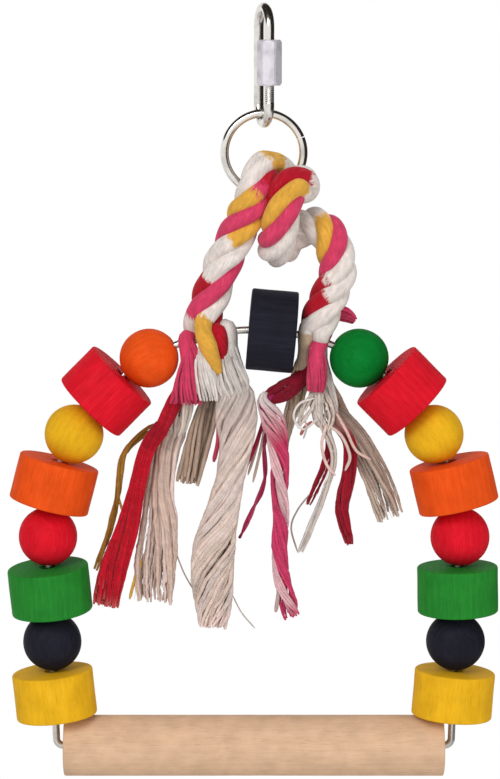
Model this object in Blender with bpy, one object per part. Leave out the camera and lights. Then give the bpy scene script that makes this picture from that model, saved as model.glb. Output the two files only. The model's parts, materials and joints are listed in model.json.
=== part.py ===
"""Hanging arch swing for birds: screw link, ring, rope, beaded wire arch and wooden perch."""
import math

import bmesh
import bpy
from mathutils import Matrix, Vector

# Screw link. The frame's origin is the inside of its upper bow, where it hangs.
LINK_ROD = 0.004
LINK_INNER_LENGTH = 0.042
LINK_INNER_WIDTH = 0.012
LINK_TURN = math.radians(15.0)
NUT_TOP = 0.0107
NUT_LENGTH = 0.018
NUT_WALL = 0.0022
NUT_EDGE = 0.0005
NUT_TURN = math.radians(27.0)
NUT_CLEARANCE = 0.0003
GATE_GRIP = 0.002
GATE_GAP = 0.005

# Ring of round wire with butted ends.
RING_WIRE = 0.0034
RING_OUTER = 0.035
RING_JOINT_ANGLE = math.radians(22.0)
RING_JOINT_GAP = 0.0005
RING_SEAT_GAP = 0.0003

# Arch wire: half round, two legs and two feet bent inwards. It is as tall as its pieces need.
WIRE = 0.003
ARCH_OVERHANG = 0.0057
HANG_OFFSET = 0.004
FOOT_BEND = 0.003
FOOT_DEPTH = 0.012
FOOT_END_GAP = 0.0015

# Perch: round rod with a hole in each end.
PERCH_DIAMETER = 0.025
PERCH_LENGTH = 0.156
PERCH_EDGE = 0.0006
PERCH_HOLE_CLEARANCE = 0.0005
PERCH_SIDE_GAP = 0.0003

# Wooden pieces threaded on the wire.
BALL_DIAMETER = 0.024
BALL_PLAY = 0.00044
BLOCK_DIAMETER = 0.033
BLOCK_LENGTH = 0.019
BLOCK_PLAY = 0.00096
BLOCK_EDGE = 0.0008
PIECE_GAP = 0.0003
TOP_BLOCK_SHIFT = 0.0074

# Rope: turned over the ring, with the arch wire pushed through both legs.
ROPE_DIAMETER = 0.0135
ROPE_STEP = 0.0042
ROPE_WIRE_CLEARANCE = 0.0007
TURN_BLOCK_GAP = 0.0078
ROPE_RING_GAP = 0.0003
LEFT_LEG_GAP = 0.0038
RIGHT_LEG_GAP = 0.0008
RIGHT_BALL_GAP = 0.0014

ROUND_STEPS = 24
BLOCK_STEPS = 36

# Dyed wood, rope and metal: colour, roughness, metallic.
LOOKS = {
    "red": ((0.62, 0.02, 0.035), 0.5, 0.0),
    "orange": ((0.78, 0.08, 0.012), 0.5, 0.0),
    "yellow": ((0.80, 0.46, 0.02), 0.5, 0.0),
    "green": ((0.02, 0.26, 0.035), 0.5, 0.0),
    "black": ((0.022, 0.020, 0.032), 0.55, 0.0),
    "beech": ((0.68, 0.44, 0.26), 0.6, 0.0),
    "steel": ((0.62, 0.60, 0.57), 0.22, 1.0),
    "cotton": ((0.74, 0.65, 0.60), 0.9, 0.0),
    "cream": ((0.70, 0.58, 0.48), 0.9, 0.0),
    "gold": ((0.72, 0.40, 0.06), 0.9, 0.0),
    "pink": ((0.72, 0.08, 0.17), 0.9, 0.0),
    "crimson": ((0.45, 0.01, 0.03), 0.9, 0.0),
    "taupe": ((0.38, 0.27, 0.20), 0.9, 0.0),
}


def dress(obj, look):
    """Give an object its own material."""
    colour, roughness, metallic = LOOKS[look]
    material = bpy.data.materials.new(obj.name + "_" + look)
    material.use_nodes = True
    shader = material.node_tree.nodes["Principled BSDF"]
    shader.inputs["Base Color"].default_value = (*colour, 1.0)
    shader.inputs["Roughness"].default_value = roughness
    shader.inputs["Metallic"].default_value = metallic
    obj.data.materials.clear()
    obj.data.materials.append(material)
    return obj


def add(name, data, look, origin):
    obj = bpy.data.objects.new(name, data)
    obj.location = origin
    bpy.context.scene.collection.objects.link(obj)
    return dress(obj, look)


def lathe(name, profile, steps, closed):
    """Turn a profile of (radius, height) points about Z into a mesh."""
    bm = bmesh.new()
    verts = [bm.verts.new((radius, 0.0, height)) for radius, height in profile]
    edges = [bm.edges.new(pair) for pair in zip(verts, verts[1:])]
    if closed:
        edges.append(bm.edges.new((verts[-1], verts[0])))
    bmesh.ops.spin(bm, geom=verts + edges, cent=(0, 0, 0), axis=(0, 0, 1),
                   angle=2 * math.pi, steps=steps, use_merge=True)
    bmesh.ops.remove_doubles(bm, verts=bm.verts, dist=1e-6)
    bmesh.ops.recalc_face_normals(bm, faces=bm.faces)
    mesh = bpy.data.meshes.new(name)
    bm.to_mesh(mesh)
    bm.free()
    mesh.shade_smooth()
    mesh.set_sharp_from_angle(angle=math.radians(35))
    return mesh


def tube_data(name, points, diameter, resolution, origin):
    """Round bar along points, as a curve with filled ends."""
    curve = bpy.data.curves.new(name, "CURVE")
    curve.dimensions = "3D"
    curve.bevel_depth = diameter / 2
    curve.bevel_resolution = resolution
    curve.use_fill_caps = True
    spline = curve.splines.new("POLY")
    spline.points.add(len(points) - 1)
    for slot, point in zip(spline.points, points):
        slot.co = (*(Vector(point) - origin), 1.0)
        slot.radius = 1.0
    spline.use_smooth = True
    return curve


def tube(name, points, diameter, look, origin=Vector(), resolution=4):
    return add(name, tube_data(name, points, diameter, resolution, origin), look, origin)


def tube_mesh(name, points, diameter, origin, resolution=4):
    """The same round bar as one welded mesh, ready to be cut."""
    holder = bpy.data.objects.new(name, tube_data(name, points, diameter, resolution, origin))
    bpy.context.scene.collection.objects.link(holder)
    bpy.context.view_layer.update()
    graph = bpy.context.evaluated_depsgraph_get()
    mesh = bpy.data.meshes.new_from_object(holder.evaluated_get(graph))
    bpy.data.objects.remove(holder)
    bm = bmesh.new()
    bm.from_mesh(mesh)
    bmesh.ops.remove_doubles(bm, verts=bm.verts, dist=1e-6)
    bmesh.ops.recalc_face_normals(bm, faces=bm.faces)
    bm.to_mesh(mesh)
    bm.free()
    mesh.shade_smooth()
    mesh.set_sharp_from_angle(angle=math.radians(50))
    return mesh


def cut(target, tool):
    """Take a tool's shape away from a target."""
    tool.hide_render = True
    tool.display_type = "WIRE"
    modifier = target.modifiers.new("cut_" + tool.name, "BOOLEAN")
    modifier.operation = "DIFFERENCE"
    modifier.solver = "EXACT"
    modifier.object = tool


def smooth_route(points, step):
    """Even points along a smooth curve through the given route."""
    knots = [Vector(point) for point in points]
    ends = [2 * knots[0] - knots[1]] + knots + [2 * knots[-1] - knots[-2]]
    fine = []
    for a, b, c, d in zip(ends, ends[1:], ends[2:], ends[3:]):
        for i in range(24):
            t = i / 24
            fine.append(0.5 * ((2 * b) + (c - a) * t + (2 * a - 5 * b + 4 * c - d) * t ** 2
                               + (3 * b - a - 3 * c + d) * t ** 3))
    fine.append(knots[-1])
    lengths = [0.0]
    for a, b in zip(fine, fine[1:]):
        lengths.append(lengths[-1] + (b - a).length)
    count = max(3, round(lengths[-1] / step))
    even = []
    at = 0
    for i in range(count + 1):
        target = lengths[-1] * i / count
        while at < len(fine) - 2 and lengths[at + 1] < target:
            at += 1
        share = (target - lengths[at]) / (lengths[at + 1] - lengths[at])
        even.append(fine[at].lerp(fine[at + 1], min(max(share, 0.0), 1.0)))
    return even


def arc(centre, radius, start, end, count):
    """Points on an arc in the plane of X and Z, angles from +X towards +Z."""
    out = []
    for i in range(count + 1):
        angle = start + (end - start) * i / count
        out.append(centre + Vector((radius * math.cos(angle), 0, radius * math.sin(angle))))
    return out


for old in list(bpy.data.objects):
    bpy.data.objects.remove(old)

# Screw link, drawn in its own plane and turned about the vertical.
# One leg is cut open as a gate, which the sleeve nut closes.
leg = (LINK_INNER_WIDTH + LINK_ROD) / 2
bow_top = -LINK_INNER_WIDTH / 2
bow_bottom = -LINK_INNER_LENGTH + LINK_INNER_WIDTH / 2
gate_top = -NUT_TOP - GATE_GRIP
gate_bottom = gate_top - GATE_GAP
flat_link = [Vector((leg, 0, gate_top)), Vector((leg, 0, (gate_top + bow_top) / 2))]
flat_link += arc(Vector((0, 0, bow_top)), leg, 0, math.pi, 12)
flat_link += arc(Vector((0, 0, bow_bottom)), leg, math.pi, 2 * math.pi, 12)
flat_link += [Vector((leg, 0, (gate_bottom + bow_bottom) / 2)), Vector((leg, 0, gate_bottom))]
link_plane = Matrix.Rotation(LINK_TURN - math.pi / 2, 3, "Z")
tube("quick_link", [link_plane @ point for point in flat_link], LINK_ROD, "steel")

# Sleeve nut on the gate leg.
bore_radius = LINK_ROD / 2 + NUT_CLEARANCE
nut_radius = (bore_radius + NUT_WALL) * 2 / math.sqrt(3)
bm = bmesh.new()
bmesh.ops.create_cone(bm, cap_ends=True, segments=6, radius1=nut_radius, radius2=nut_radius,
                      depth=NUT_LENGTH)
rims = [edge for edge in bm.edges if abs(edge.verts[0].co.z - edge.verts[1].co.z) < 1e-9]
bmesh.ops.bevel(bm, geom=rims, offset=NUT_EDGE, segments=1, affect="EDGES")
nut_mesh = bpy.data.meshes.new("sleeve_nut")
bm.to_mesh(nut_mesh)
bm.free()
nut_place = link_plane @ Vector((leg, 0, 0)) - Vector((0, 0, NUT_TOP + NUT_LENGTH / 2))
nut = add("sleeve_nut", nut_mesh, "steel", nut_place)
nut.rotation_euler = (0, 0, NUT_TURN)
bore_end = NUT_LENGTH
nut_bore = lathe("nut_bore", [(0, bore_end), (bore_radius, bore_end), (bore_radius, -bore_end),
                              (0, -bore_end)], ROUND_STEPS, False)
nut_bore_tool = add("nut_bore", nut_bore, "steel", nut_place)
cut(nut, nut_bore_tool)

# Ring, resting in the lower bow of the link.
ring_radius = (RING_OUTER - RING_WIRE) / 2
ring_top = -LINK_INNER_LENGTH + RING_SEAT_GAP + RING_WIRE / 2
ring_centre = Vector((0, 0, ring_top - ring_radius))
half_joint = RING_JOINT_GAP / ring_radius / 2
tube("hang_ring", arc(ring_centre, ring_radius, RING_JOINT_ANGLE + half_joint,
                      RING_JOINT_ANGLE + 2 * math.pi - half_joint, 48),
     RING_WIRE, "steel", ring_centre, 3)

# Rope's turn round the ring, from the ring's lowest point. It is drawn in mm, and comes no
# nearer to the middle of the ring's wire than its seat.
LEFT_LEG = [(-16.8, -3.2, -29.1), (-11.2, -6.0, -17.0)]
TURN = [(-6.8, -8.6, -7.6), (-3.8, -9.3, 0.2), (-1.6, -6.6, 6.7), (0.9, 0.0, 9.4),
        (3.8, 7.7, 7.7), (7.3, 10.6, 3.2), (12.3, 9.9, -0.6), (16.8, 6.0, -2.0),
        (18.0, -1.3, -3.0), (14.5, -8.1, -5.7), (10.2, -11.6, -11.1), (7.7, -9.9, -17.0),
        (5.3, -6.2, -21.4), (4.6, 0.5, -24.6), (6.8, 6.7, -23.6), (10.8, 9.8, -20.6),
        (16.1, 9.2, -17.1), (22.8, 5.2, -16.8)]
RIGHT_LEG = [(27.2, 1.8, -22.0), (29.0, 0.0, -34.0)]
TURN_SEAT = 8.75
ring_low = ring_centre - Vector((0, 0, ring_radius))
rope_radius = ROPE_DIAMETER / 2
turn_size = (RING_WIRE / 2 + rope_radius + ROPE_RING_GAP) / TURN_SEAT
turn_depth = rope_radius - min(z for x, y, z in TURN) * turn_size

# Arch wire. Its legs run straight from the half round to the foot bends.
# The block at its top hangs clear of the rope's turn.
block_radius = BLOCK_DIAMETER / 2
half = PERCH_LENGTH / 2
bend_x = half + PERCH_SIDE_GAP
arch_radius = bend_x + ARCH_OVERHANG
arch_drop = turn_depth + TURN_BLOCK_GAP + block_radius
arch_middle = Vector((-HANG_OFFSET, 0, ring_low.z - arch_drop - arch_radius))


def leg_lean(rise):
    """Inward lean of the legs when the perch hangs at this depth under the arch's middle."""
    bend_rise = rise - FOOT_BEND
    reach = math.hypot(bend_x, bend_rise)
    return math.atan2(bend_rise, bend_x) - math.acos((arch_radius - FOOT_BEND) / reach)


def wire_at(station, lean):
    """Point and direction on the wire, measured from the top of the arch towards +X."""
    side = 1 if station >= 0 else -1
    along = min(abs(station), arch_radius * (math.pi / 2 + lean))
    angle = along / arch_radius
    point = Vector((arch_radius * math.sin(angle), 0, arch_radius * math.cos(angle)))
    way = Vector((math.cos(angle), 0, -math.sin(angle)))
    point += way * (abs(station) - along)
    point.x *= side
    way.z *= side
    return arch_middle + point, way


# Shapes shared by the threaded pieces. A bore clears the bow of the wire along its length.
rod = PERCH_DIAMETER / 2
ball_radius = BALL_DIAMETER / 2
ball_bore = WIRE / 2 + ball_radius ** 2 / (2 * arch_radius) + BALL_PLAY
pole = math.asin(ball_bore / ball_radius)
ball_profile = []
for i in range(9):
    angle = pole + (math.pi - 2 * pole) * i / 8
    ball_profile.append((ball_radius * math.sin(angle), ball_radius * math.cos(angle)))
block_half = BLOCK_LENGTH / 2
block_bore = WIRE / 2 + block_half ** 2 / (2 * arch_radius) + BLOCK_PLAY
corner = [(block_bore, block_half), (block_radius - BLOCK_EDGE, block_half),
          (block_radius, block_half - BLOCK_EDGE)]
block_profile = corner + [(r, -h) for r, h in reversed(corner)]
ball_shape = lathe("ball_shape", ball_profile, ROUND_STEPS, True)
block_shape = lathe("block_shape", block_profile, BLOCK_STEPS, True)
reach_apart = block_half + ball_radius + PIECE_GAP

# Each side is strung from the perch upwards: kind, colour, lean and nod of the loose blocks.
SIDES = {
    "left": (-1, [("block", "yellow", 4.0, 0.0), ("ball", "black", 0, 0),
                  ("block", "green", 3.5, 4.0), ("ball", "red", 0, 0),
                  ("block", "orange", 0.0, -2.0), ("ball", "yellow", 0, 0),
                  ("block", "red", 0.0, 0.0), ("ball", "orange", 0, 0)]),
    "right": (1, [("block", "yellow", 2.5, -1.0), ("ball", "black", 0, 0),
                  ("block", "green", -3.0, 0.0), ("ball", "red", 0, 0),
                  ("block", "orange", 1.0, -1.0), ("ball", "yellow", 0, 0),
                  ("block", "red", 0.0, 0.0), ("ball", "green", 0, 0)]),
}


def solve(test, low, high):
    """Value between low and high where a rising test passes zero."""
    for _ in range(50):
        middle = (low + high) / 2
        if test(middle) > 0:
            high = middle
        else:
            low = middle
    return high


def string(side, rise):
    """Kind, colour, station and axis of one side's pieces, each resting on the one below."""
    sign, pieces = SIDES[side]
    lean = leg_lean(rise)
    leg_start = arch_radius * (math.pi / 2 + lean)
    crest = arch_middle + Vector((sign * half, 0, rod - rise))
    inner = crest - Vector((sign * block_radius, 0, 0))
    strung = []

    def place(station):
        return wire_at(sign * station, lean)[0]

    def axis_of(station, lean_out, nod):
        up = wire_at(sign * station, lean)[1] * -sign
        turned = Matrix.Rotation(math.radians(lean_out) * sign, 3, "Y") @ up
        return Matrix.Rotation(math.radians(nod), 3, "X") @ turned

    for kind, colour, lean_out, nod in pieces:

        def over_perch(climb):
            axis = axis_of(leg_start - climb, lean_out, nod)
            centre = place(leg_start - climb)
            lowest = min((centre - crest).dot(axis), (centre - inner).dot(axis))
            return lowest - block_half - PIECE_GAP

        def over_block(step):
            return (place(station - step) - below).dot(last_axis) - reach_apart

        def over_ball(step):
            axis = axis_of(station - step, lean_out, nod)
            return (place(station - step) - below).dot(axis) - reach_apart

        if not strung:
            station = leg_start - solve(over_perch, -rise, leg_start)
        elif kind == "ball":
            station -= solve(over_block, 0.0, 2 * reach_apart)
        else:
            station -= solve(over_ball, 0.0, 2 * reach_apart)
        below = place(station)
        last_axis = axis_of(station, lean_out, nod)
        strung.append((kind, colour, sign * station, last_axis))
    return strung


# The perch hangs so deep that the right string ends just short of the rope's right leg.
right_station = TOP_BLOCK_SHIFT + block_half + RIGHT_LEG_GAP + rope_radius
right_top = right_station + rope_radius + RIGHT_BALL_GAP + ball_radius
least_rise = FOOT_BEND + math.sqrt(max(0.0, (arch_radius - FOOT_BEND) ** 2 - bend_x ** 2))
arch_rise = solve(lambda rise: string("right", rise)[-1][2] - right_top,
                  least_rise, least_rise + 4 * arch_radius)
lean = leg_lean(arch_rise)
perch_axis = arch_middle.z - arch_rise


def thread(name, shape, colour, station, axis):
    data = shape.copy()
    data.name = name
    piece = add(name, data, colour, wire_at(station, lean)[0])
    piece.rotation_euler = axis.to_track_quat("Z", "Y").to_euler()
    return piece


top_ball = {}
for side in SIDES:
    for kind, colour, station, axis in string(side, arch_rise):
        shape = ball_shape if kind == "ball" else block_shape
        thread(kind + "_" + side + "_" + colour, shape, colour, station, axis)
        top_ball[side] = station

# Black block at the top of the arch, lying along the wire.
top_way = wire_at(TOP_BLOCK_SHIFT, lean)[1]
thread("block_top_black", block_shape, "black", TOP_BLOCK_SHIFT, top_way)

# Perch between the two feet, with a blind hole in each end.
hole = WIRE / 2 + PERCH_HOLE_CLEARANCE
floor = half - FOOT_DEPTH - FOOT_END_GAP
end = [(0, floor), (hole, floor), (hole, half), (rod - PERCH_EDGE, half), (rod, half - PERCH_EDGE)]
rod_profile = end + [(r, -h) for r, h in reversed(end)]
perch = add("perch", lathe("perch", rod_profile, BLOCK_STEPS, False), "beech",
            Vector((-HANG_OFFSET, 0, perch_axis)))
perch.rotation_euler = (0, math.pi / 2, 0)

# Rope. Its turn is placed from the lowest point of the ring, its legs from the wire.
left_station = top_ball["left"] + ball_radius + LEFT_LEG_GAP + rope_radius
left_cross = wire_at(left_station, lean)[0]
right_cross = wire_at(right_station, lean)[0]
LEFT_END = [(-3.5, -2.0, -24.0), (-2.0, -1.0, -14.0), (-0.5, 0.0, -6.0), (0.0, 0.0, 0.0),
            (1.6, -0.4, 9.0), (5.0, -1.0, 18.6)]
RIGHT_END = [(5.0, -0.4, 15.0), (2.2, -0.2, 7.2), (0.0, 0.0, 0.0), (-0.9, 0.0, -9.0),
             (-0.4, 0.0, -18.5)]
MM = 0.001
route = [left_cross + Vector(p) * MM for p in LEFT_END]
route += [ring_low + Vector(p) * turn_size for p in LEFT_LEG + TURN + RIGHT_LEG]
route += [right_cross + Vector(p) * MM for p in RIGHT_END]
rope_mesh = tube_mesh("rope", smooth_route(route, ROPE_STEP), ROPE_DIAMETER, ring_centre)
rope = add("rope", rope_mesh, "cotton", ring_centre)
for side, station in (("left", left_station), ("right", right_station)):
    passage = [wire_at(station + ROPE_DIAMETER * (i / 4 - 1), lean)[0] for i in range(9)]
    width = WIRE + 2 * ROPE_WIRE_CLEARANCE
    name = "rope_passage_" + side
    tool = add(name, tube_mesh(name, passage, width, Vector()), "cotton", Vector())
    cut(rope, tool)

# Wire itself, hung on the line through the two places where it passes the rope.
right_half = [wire_at(arch_radius * (math.pi / 2 + lean) * i / 18, lean)[0] for i in range(19)]
bend_centre = Vector((bend_x - HANG_OFFSET, 0, perch_axis + FOOT_BEND))
right_half += arc(bend_centre, FOOT_BEND, -lean, -math.pi / 2, 6)
right_half.append(Vector((half - FOOT_DEPTH - HANG_OFFSET, 0, perch_axis)))
left_half = [Vector((-2 * HANG_OFFSET - p.x, p.y, p.z)) for p in right_half]
pivot = (left_cross + right_cross) / 2
tube("arch_wire", left_half[:0:-1] + right_half, WIRE, "steel", pivot, 3)

# Loose strands of the opened rope ends: leg, colour, diameter, route from the leg's crossing in mm.
STRANDS = {
    "tassel_gold": ("left", "gold", 3.0, [
        (-8.5, 7, -34.9), (-20.7, 7, -39), (-31.2, 6, -49.7), (-34.4, 6, -66.1),
        (-37.7, 6.5, -82.5), (-43.6, 7, -97.2)]),
    "tassel_red": ("left", "crimson", 7.0, [
        (-15.8, -5, -36.5), (-21.7, -5, -45.8), (-25.9, -4.5, -62), (-29.9, -4, -78.4),
        (-35.5, -3, -94.9), (-39.1, -2, -110.7)]),
    "tassel_cream": ("left", "cream", 11.5, [
        (-10.7, 4, -39.3), (-13.9, 3, -46.9), (-16.6, 2.5, -62), (-17, 2, -78.4), (-18.9, 1, -94.9),
        (-19.9, 0, -109.3)]),
    "tassel_taupe_brush": ("left", "taupe", 5.6, [
        (4.8, 4.8, -25.5), (1.1, 4.6, -36.9), (-2, 4, -47.6), (-5.7, 3, -60.9)]),
    "tassel_cream_ply": ("left", "cream", 12.0, [
        (14.1, -2, -22.5), (14.6, -3, -32.9), (14.4, -4, -43.9), (11.9, -4, -57.9),
        (8.7, -4, -71.9), (5.7, -4, -84.5), (4.7, -3.5, -96.9), (5.1, -3, -109.1),
        (4.8, -2, -119.5)]),
    "tassel_pink_thin": ("right", "pink", 2.4, [
        (-17.5, 2, -29.3), (-19.5, 1, -41.9), (-19.7, 0, -55.8), (-24.1, -1, -69.9),
        (-30.4, -1, -81.8)]),
    "tassel_pink_twist": ("right", "pink", 6.0, [
        (-19.7, -4.5, -24.8), (-16.1, -5, -34), (-13.9, -4.5, -47.2), (-13.6, -4, -61.2),
        (-13, -3, -73.6), (-13.8, -3, -87.2), (-12.1, -2.5, -101.2), (-8.2, -2, -114.8)]),
    "tassel_beige": ("right", "taupe", 4.0, [
        (-6.5, 5, -24.4), (-9.5, 5.5, -33.7), (-11.7, 6, -44.7), (-11.9, 5.5, -55.7)]),
    "tassel_dark_red": ("right", "crimson", 3.2, [
        (0.5, 5, -27.6), (6.4, 4, -40.8), (5.2, 4, -52.3), (-1.5, 3, -68.8)]),
    "tassel_white": ("right", "cotton", 3.0, [
        (1.6, -3, -30.1), (8, -4, -46.9), (3.2, -3, -65.4), (-5.3, -2, -87.9)]),
    "tassel_red_right": ("right", "crimson", 4.6, [
        (7.7, 0, -31.8), (14.5, -1, -42.2), (14.5, -2, -55.2), (11.9, -2, -67.4),
        (12.7, -1.5, -75.6), (14.9, -1, -84.7)]),
    "tassel_taupe": ("right", "taupe", 7.5, [
        (10.7, 6.5, -32.4), (17.9, 6, -41.8), (24.9, 4, -55.2), (28.9, 2.5, -65.2),
        (31.9, 2, -74.4)]),
}
crossing = {"left": left_cross, "right": right_cross}
for name, (side, colour, thick, points) in STRANDS.items():
    metres = [crossing[side] + Vector(p) * MM for p in points]
    diameter = thick * MM
    tube(name, smooth_route(metres, max(2.4 * diameter, 0.008)), diameter, colour, Vector(), 2)
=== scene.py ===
"""Looks of the hanging arch swing for birds: metal, cotton rope, dyed wood, perch and studio."""

import json
import math
import random
from functools import partial

import bmesh
import bpy
import numpy as np
from mathutils import Matrix, Vector


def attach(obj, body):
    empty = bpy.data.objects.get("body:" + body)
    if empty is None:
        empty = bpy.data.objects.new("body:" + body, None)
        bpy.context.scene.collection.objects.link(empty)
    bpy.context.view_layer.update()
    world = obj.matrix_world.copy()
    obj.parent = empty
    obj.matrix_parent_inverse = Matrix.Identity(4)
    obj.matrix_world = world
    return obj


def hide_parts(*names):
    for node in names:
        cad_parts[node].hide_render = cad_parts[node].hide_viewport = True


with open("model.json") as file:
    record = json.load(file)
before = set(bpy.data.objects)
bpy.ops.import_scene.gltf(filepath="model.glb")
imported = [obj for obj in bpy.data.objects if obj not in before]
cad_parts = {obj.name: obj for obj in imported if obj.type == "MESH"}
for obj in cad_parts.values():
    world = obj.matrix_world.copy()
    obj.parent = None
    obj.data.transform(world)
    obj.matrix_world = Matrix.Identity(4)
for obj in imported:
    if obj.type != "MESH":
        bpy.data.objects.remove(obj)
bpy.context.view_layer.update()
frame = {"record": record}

# Screw link: 4 mm steel rod bent into a long loop and nickel plated, one leg cut open as a gate.
# The lower half of that leg carries the thread on which the sleeve nut runs.
MM = 0.001
LINK_ROD = 4.0
LINK_LEG = 8.0
LINK_BOWS = (-6.0, -36.0)
LINK_GATE = (-12.7, -17.7)
LINK_TURN = math.radians(15.0) - math.pi / 2
THREAD_END = -36.0
THREAD_PITCH = 0.8
THREAD_DEPTH = 0.16
ROD_SIDES = 32
BOW_STEPS = 40
NICKEL = (0.78, 0.75, 0.71)


def fill(tree, node, inputs):
    """Set a node's inputs to plain values, or link them to other nodes' outputs."""
    for socket, value in inputs.items():
        if isinstance(value, bpy.types.NodeSocket):
            tree.links.new(value, node.inputs[socket])
        else:
            node.inputs[socket].default_value = value


def add_node(tree, kind, inputs=None, **settings):
    """One node with its settings and inputs."""
    made = tree.nodes.new(kind)
    for name, value in settings.items():
        setattr(made, name, value)
    fill(tree, made, inputs or {})
    return made


def own_place(tree):
    """The object's own coordinates."""
    return add_node(tree, "ShaderNodeTexCoord").outputs["Object"]


def noise(tree, place, scale, detail, roughness=0.5):
    """Cloudy noise between 0 and 1."""
    return add_node(tree, "ShaderNodeTexNoise", {
        "Vector": place, "Scale": scale, "Detail": detail, "Roughness": roughness}).outputs["Fac"]


def span(tree, value, low, high, first, last):
    """A number carried from one range into another."""
    return add_node(tree, "ShaderNodeMapRange", {
        "Value": value, "From Min": low, "From Max": high, "To Min": first, "To Max": last}).outputs[0]


def tones(tree, value, stops):
    """A colour picked along stops of (position, colour)."""
    made = add_node(tree, "ShaderNodeValToRGB", {"Fac": value})
    first, *middle, last = stops
    for element, (position, colour) in zip(made.color_ramp.elements, (first, last)):
        element.position = position
        element.color = (*colour, 1)
    for position, colour in middle:
        made.color_ramp.elements.new(position).color = (*colour, 1)
    return made.outputs["Color"]


def bump(tree, height, strength, distance):
    """Relief too fine to be geometry."""
    return add_node(tree, "ShaderNodeBump", {
        "Height": height, "Strength": strength, "Distance": distance}).outputs["Normal"]


def new_material(name):
    """Empty node material, its tree and its shader."""
    material = bpy.data.materials.new(name)
    material.use_nodes = True
    tree = material.node_tree
    return material, tree, tree.nodes["Principled BSDF"]


def metal(name, colour, roughness, scratch, metallic=1.0):
    """Plated steel: cloudy roughness, fine drawing lines and a few darker stains."""
    material, tree, shader = new_material(name)
    cloud = noise(tree, own_place(tree), scale=160.0, detail=4.0)
    fine = noise(tree, own_place(tree), scale=2600.0, detail=3.0)
    fill(tree, shader, {
        "Base Color": tones(tree, cloud, [(0.30, [c * 0.72 for c in colour]), (0.52, colour)]),
        "Roughness": span(tree, cloud, 0.3, 0.7, roughness * 1.35, roughness * 0.7),
        "Normal": bump(tree, fine, scratch, 0.00004), "Metallic": metallic})
    return material


def path_tree(name, inputs):
    """Geometry nodes for a path: the tree, its named inputs and the path as a curve."""
    tree = bpy.data.node_groups.new(name, "GeometryNodeTree")
    for socket, kind in (("Path", "Geometry"), *inputs, ("Material", "Material")):
        tree.interface.new_socket(socket, in_out="INPUT", socket_type="NodeSocket" + kind)
    tree.interface.new_socket("Made", in_out="OUTPUT", socket_type="NodeSocketGeometry")
    given = add_node(tree, "NodeGroupInput").outputs
    return tree, given, add_node(tree, "GeometryNodeMeshToCurve", {"Mesh": given["Path"]}).outputs["Curve"]


def named(tree, name, **settings):
    """A named value of the geometry."""
    return add_node(tree, "GeometryNodeInputNamedAttribute", {"Name": name}, **settings).outputs["Attribute"]


def stored(tree, geometry, name, value, **settings):
    """The geometry with a value kept under a name."""
    return add_node(tree, "GeometryNodeStoreNamedAttribute", {
        "Geometry": geometry, "Name": name, "Value": value}, **settings).outputs["Geometry"]


def tube(tree, curve, sides, thick):
    """Closed round bars along curves."""
    circle = add_node(tree, "GeometryNodeCurvePrimitiveCircle", {"Resolution": sides, "Radius": 1.0})
    place = add_node(tree, "GeometryNodeInputPosition").outputs["Position"]
    around = stored(tree, circle.outputs["Curve"], "around", place, data_type="FLOAT_VECTOR")
    return add_node(tree, "GeometryNodeCurveToMesh", {
        "Curve": curve, "Profile Curve": around, "Scale": thick, "Fill Caps": True}).outputs["Mesh"]


def hand_out(tree, geometry, material):
    """The tree, with the geometry smooth, real and dressed as its result."""
    for kind, inputs in (("SetShadeSmooth", {}), ("RealizeInstances", {}),
                         ("SetMaterial", {"Material": material})):
        geometry = add_node(tree, "GeometryNode" + kind, {"Geometry": geometry, **inputs}).outputs["Geometry"]
    add_node(tree, "NodeGroupOutput", {"Made": geometry})
    return tree


def sweep_tree():
    """Geometry nodes that make a round bar along each polyline, as thick as its points say."""
    tree, given, line = path_tree("bar_along_path", [("Sides", "Int")])
    run = add_node(tree, "GeometryNodeSplineParameter").outputs["Length"]
    bars = tube(tree, stored(tree, line, "along", run), given["Sides"], named(tree, "thick"))
    return hand_out(tree, bars, given["Material"])


def placed(name, data):
    """New object in the scene, at the origin."""
    piece = bpy.data.objects.new(name, data)
    bpy.context.scene.collection.objects.link(piece)
    return piece


def along_paths(name, tree, paths, marks, settings):
    """Run a path tree over polylines in mm, with named values at their points, as a plain object."""
    points = [p for path in paths for p in path]
    edges = []
    start = 0
    for path in paths:
        edges += [(start + i, start + i + 1) for i in range(len(path) - 1)]
        start += len(path)
    mesh = bpy.data.meshes.new(name + "_path")
    mesh.from_pydata([Vector(p) * MM for p in points], edges, [])
    for mark, (kind, field, values) in marks.items():
        layer = mesh.attributes.new(mark, kind, "POINT")
        layer.data.foreach_set(field, np.asarray(values, dtype=np.float32).ravel())
    holder = placed(name + "_path", mesh)
    modifier = holder.modifiers.new("make", "NODES")
    modifier.node_group = tree
    for item in tree.interface.items_tree:
        if item.in_out == "INPUT" and item.name in settings:
            modifier[item.identifier] = settings[item.name]
    bpy.context.view_layer.update()
    graph = bpy.context.evaluated_depsgraph_get()
    made = bpy.data.meshes.new_from_object(holder.evaluated_get(graph))
    bpy.data.objects.remove(holder)
    made.name = name
    return placed(name, made)


def bar(name, path, radius, sides, material):
    """A round bar along a polyline in mm."""
    marks = {"thick": ("FLOAT", "value", [radius * MM] * len(path))}
    return along_paths(name, bar_tree, [path], marks, {"Sides": sides, "Material": material})


def arc(centre, radius, start, end, count):
    """Points on an arc in the plane of X and Z, angles from +X towards +Z."""
    turns = [start + (end - start) * i / count for i in range(count + 1)]
    return [Vector((centre[0] + radius * math.cos(a), 0, centre[1] + radius * math.sin(a)))
            for a in turns]


def steps(start, end, step):
    """Even points on a straight line, both ends included."""
    count = max(1, round((end - start).length / step))
    return [start.lerp(end, i / count) for i in range(count + 1)]


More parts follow.
